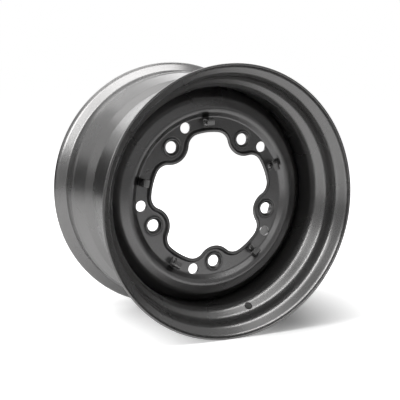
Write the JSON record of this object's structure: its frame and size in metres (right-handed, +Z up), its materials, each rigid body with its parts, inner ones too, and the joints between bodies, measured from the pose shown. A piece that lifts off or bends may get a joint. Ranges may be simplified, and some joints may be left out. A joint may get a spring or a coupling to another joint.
{
  "type": "steel wheel rim",
  "caption": "Welded steel road wheel: a rolled drop-centre rim round a pressed disc with a bolt circle, a wide flower-shaped hub opening and spring clips for a hub cap",
  "frame": {"origin": "centre of the bolt circle, on the disc's mounting face that lies against the hub", "axes": "Y along the axle with the street side at -Y and the vehicle at +Y, X to the right and Z up as the wheel is seen from the street"},
  "size_m": [0.4086, 0.2318, 0.4086],
  "materials": {
    "rim_paint": "satin",
    "disc_paint": "satin",
    "clip_paint": "satin",
    "rivet_paint": "satin",
    "weld_paint": "satin"
  },
  "bodies": {
    "root": {"rim_hoop": "rim_paint", "wheel_disc": "disc_paint", "hub_cap_clip_1": "clip_paint", "hub_cap_clip_2": "clip_paint", "hub_cap_clip_3": "clip_paint", "hub_cap_clip_4": "clip_paint", "hub_cap_clip_5": "clip_paint", "clip_rivets": "rivet_paint", "weld_beads": "weld_paint"}
  },
  "joints": []
}
